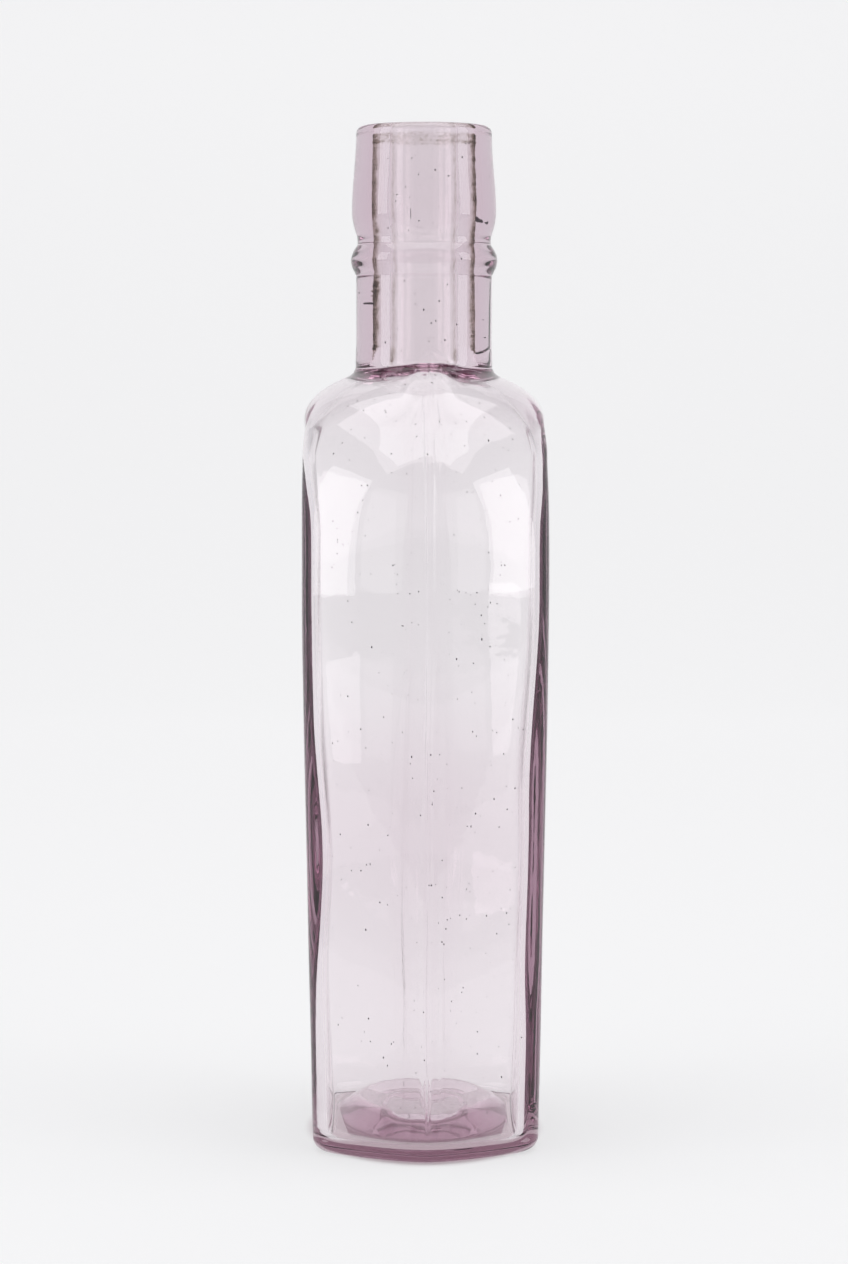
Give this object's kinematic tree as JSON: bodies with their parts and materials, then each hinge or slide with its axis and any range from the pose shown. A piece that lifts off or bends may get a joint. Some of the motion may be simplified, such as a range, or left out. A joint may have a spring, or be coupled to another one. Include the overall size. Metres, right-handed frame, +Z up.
{
  "type": "empty whisky flask bottle",
  "caption": "Empty uncapped flask bottle of thick mauve-tinted glass: slim hexagonal body, rounded shoulders, round neck with a ring and a swelling lip.",
  "frame": {"origin": "middle of the footprint, on the surface that the bottle stands on", "axes": "+Z up along the bottle's axis, X across the thin way, Y along the broad way with a mould seam on +Y and on -Y; the picture looks along +Y"},
  "size_m": [0.0502, 0.079, 0.2082],
  "materials": {
    "tinted_glass": "clear old glass, faint mauve tint, polished, slightly wavy"
  },
  "bodies": {
    "root": {"bottle": "tinted_glass"}
  },
  "joints": []
}
